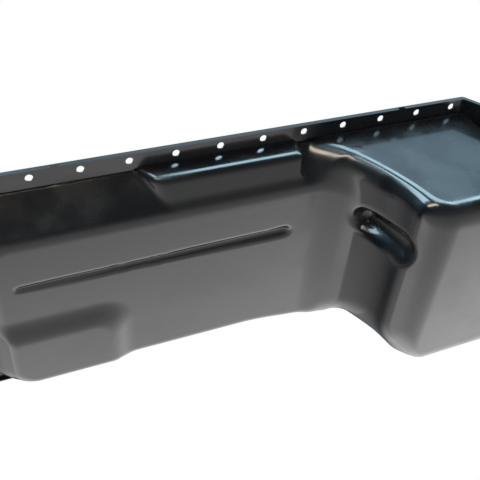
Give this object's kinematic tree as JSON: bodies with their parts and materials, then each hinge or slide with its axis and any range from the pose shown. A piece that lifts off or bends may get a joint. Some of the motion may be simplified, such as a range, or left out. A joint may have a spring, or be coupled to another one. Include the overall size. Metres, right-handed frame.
{
  "type": "engine oil pan",
  "caption": "Stamped steel engine oil pan: shallow tray, ramp to a deep rear sump, drilled flange with a turned-down rim, drain plug in the end wall.",
  "frame": {"origin": "centre of the side rails' gasket face, midway between the four corner bolt holes", "axes": "+X along the rails to the deep end, +Z out of the gasket face, up to the engine, +Y to the far side; the side with the raised pad is the near one"},
  "size_m": [0.81, 0.35, 0.2],
  "materials": {
    "pan_paint": "glossy black enamel",
    "bung_paint": "glossy black enamel",
    "plug_steel": "zinc plated",
    "washer_metal": "satin"
  },
  "bodies": {
    "root": {"oil_pan": "pan_paint", "drain_bung": "bung_paint", "drain_plug": "plug_steel", "drain_washer": "washer_metal"}
  },
  "joints": []
}
